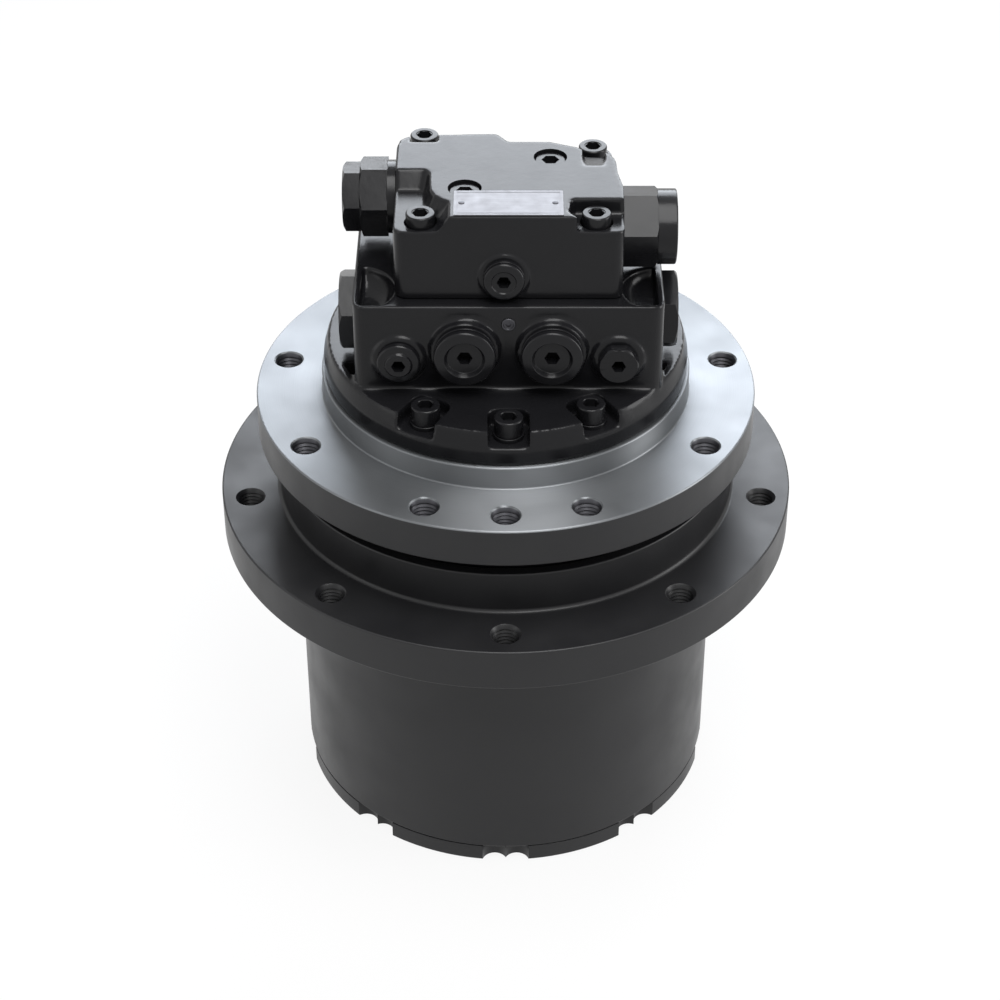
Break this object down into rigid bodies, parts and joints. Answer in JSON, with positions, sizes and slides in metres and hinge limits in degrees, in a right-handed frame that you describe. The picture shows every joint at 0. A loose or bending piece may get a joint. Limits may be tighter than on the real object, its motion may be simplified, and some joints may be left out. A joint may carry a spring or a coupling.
{
  "type": "excavator final drive",
  "caption": "Hydraulic track motor with parking brake on a two-stage planetary hub, bolted by its spindle flange and carrying the sprocket on its hub flange.",
  "frame": {"origin": "middle of the end cover's outer face, on the hub's axis", "axes": "+Z along the hub's axis from the end cover to the motor, -Y towards the oil ports"},
  "size_m": [0.3386, 0.3386, 0.4076],
  "materials": {
    "gloss_black": "gloss paint",
    "satin_black": "satin paint",
    "bare_steel": "machined",
    "dark_steel": "heat treated",
    "gear_steel": "ground",
    "bronze": "machined",
    "rubber": "matt",
    "friction": "friction lined",
    "plate": "bare plate"
  },
  "bodies": {
    "spindle_group": {"frame_spindle": "bare_steel", "motor_cover": "gloss_black", "brake_valve_block": "gloss_black", "spool_cap": "gloss_black", "cartridge_valve": "gloss_black", "relief_valve_left": "gloss_black", "relief_valve_right": "gloss_black", "port_plug_left": "gloss_black", "port_plug_right": "gloss_black", "pilot_plug_left": "gloss_black", "pilot_plug_right": "gloss_black", "gauge_plug": "gloss_black", "valve_screw_1": "gloss_black", "valve_screw_2": "gloss_black", "valve_screw_3": "gloss_black", "valve_screw_4": "gloss_black", "top_plug_left": "gloss_black", "top_plug_right": "gloss_black", "cover_screw_1": "gloss_black", "cover_screw_2": "gloss_black", "cover_screw_3": "gloss_black", "nameplate": "plate", "swash_plate": "dark_steel", "valve_plate": "bronze", "shaft_bearing_lower": "bare_steel", "shaft_bearing_upper": "bare_steel", "shaft_seal": "rubber", "brake_separator_plate": "bare_steel", "brake_disc_spring": "dark_steel", "bearing_inner_lower": "bare_steel", "bearing_inner_upper": "bare_steel", "bearing_nut": "dark_steel", "seal_ring_upper": "bare_steel", "seal_rubber_upper": "rubber", "carrier_two": "dark_steel"},
    "hub_group": {"hub_housing": "satin_black", "end_cover": "satin_black", "cover_plug_1": "gloss_black", "cover_plug_2": "gloss_black", "bearing_outer_lower": "bare_steel", "bearing_outer_upper": "bare_steel", "seal_ring_lower": "bare_steel", "seal_rubber_lower": "rubber"},
    "ball_rows": {"ball_row_lower": "bare_steel", "ball_row_upper": "bare_steel"},
    "motor_group": {"motor_shaft": "bare_steel", "cylinder_block": "gear_steel", "brake_friction_disc": "friction", "sun_gear_one": "gear_steel"},
    "shoe_group": {"shoe_retainer": "bronze"},
    "carrier_one_group": {"carrier_one": "dark_steel", "sun_gear_two": "gear_steel"},
    "planet_one_1_body": {"planet_one_1": "gear_steel"},
    "planet_one_2_body": {"planet_one_2": "gear_steel"},
    "planet_one_3_body": {"planet_one_3": "gear_steel"},
    "planet_two_1_body": {"planet_two_1": "gear_steel"},
    "planet_two_2_body": {"planet_two_2": "gear_steel"},
    "planet_two_3_body": {"planet_two_3": "gear_steel"},
    "brake_piston_body": {"brake_piston": "gear_steel"},
    "spool_body": {"counterbalance_spool": "bare_steel"}
  },
  "joints": [
    {"name": "hub_spin", "type": "hinge", "parent": "spindle_group", "child": "hub_group", "pos_m": [0, 0, 0], "axis": [0, 0, 1], "continuous": true},
    {"name": "ball_rows_spin", "type": "hinge", "parent": "spindle_group", "child": "ball_rows", "pos_m": [0, 0, 0.1469], "axis": [0, 0, 1], "continuous": true},
    {"name": "shaft_spin", "type": "hinge", "parent": "spindle_group", "child": "motor_group", "pos_m": [0, 0, 0.1925], "axis": [0, 0, 1], "continuous": true},
    {"name": "shoes_spin", "type": "hinge", "parent": "spindle_group", "child": "shoe_group", "pos_m": [0, 0, 0.1925], "axis": [0, -0.1219, 0.9925], "continuous": true},
    {"name": "carrier_one_spin", "type": "hinge", "parent": "spindle_group", "child": "carrier_one_group", "pos_m": [0, 0, 0.047], "axis": [0, 0, 1], "continuous": true},
    {"name": "planet_one_1_spin", "type": "hinge", "parent": "carrier_one_group", "child": "planet_one_1_body", "pos_m": [0.05775, 0, 0.019], "axis": [0, 0, 1], "continuous": true},
    {"name": "planet_one_2_spin", "type": "hinge", "parent": "carrier_one_group", "child": "planet_one_2_body", "pos_m": [-0.02888, 0.05001, 0.019], "axis": [0, 0, 1], "continuous": true},
    {"name": "planet_one_3_spin", "type": "hinge", "parent": "carrier_one_group", "child": "planet_one_3_body", "pos_m": [-0.02888, -0.05001, 0.019], "axis": [0, 0, 1], "continuous": true},
    {"name": "planet_two_1_spin", "type": "hinge", "parent": "spindle_group", "child": "planet_two_1_body", "pos_m": [0.063, 0, 0.058], "axis": [0, 0, 1], "continuous": true},
    {"name": "planet_two_2_spin", "type": "hinge", "parent": "spindle_group", "child": "planet_two_2_body", "pos_m": [-0.0315, 0.05456, 0.058], "axis": [0, 0, 1], "continuous": true},
    {"name": "planet_two_3_spin", "type": "hinge", "parent": "spindle_group", "child": "planet_two_3_body", "pos_m": [-0.0315, -0.05456, 0.058], "axis": [0, 0, 1], "continuous": true},
    {"name": "brake_release", "type": "slide", "parent": "spindle_group", "child": "brake_piston_body", "axis": [0, 0, 1], "range_m": [0, 0.0015], "deforming": ["brake_disc_spring"]},
    {"name": "spool_slide", "type": "slide", "parent": "spindle_group", "child": "spool_body", "axis": [1, 0, 0], "range_m": [-0.004, 0.004]}
  ],
  "couplings": [
    {"joint": "ball_rows_spin", "follows": "hub_spin", "ratio": 0.53781},
    {"joint": "shaft_spin", "follows": "hub_spin", "ratio": -21},
    {"joint": "shoes_spin", "follows": "hub_spin", "ratio": -21},
    {"joint": "carrier_one_spin", "follows": "hub_spin", "ratio": -3},
    {"joint": "planet_one_1_spin", "follows": "hub_spin", "ratio": 10.286},
    {"joint": "planet_one_2_spin", "follows": "hub_spin", "ratio": 10.286},
    {"joint": "planet_one_3_spin", "follows": "hub_spin", "ratio": 10.286},
    {"joint": "planet_two_1_spin", "follows": "hub_spin", "ratio": 3},
    {"joint": "planet_two_2_spin", "follows": "hub_spin", "ratio": 3},
    {"joint": "planet_two_3_spin", "follows": "hub_spin", "ratio": 3}
  ]
}
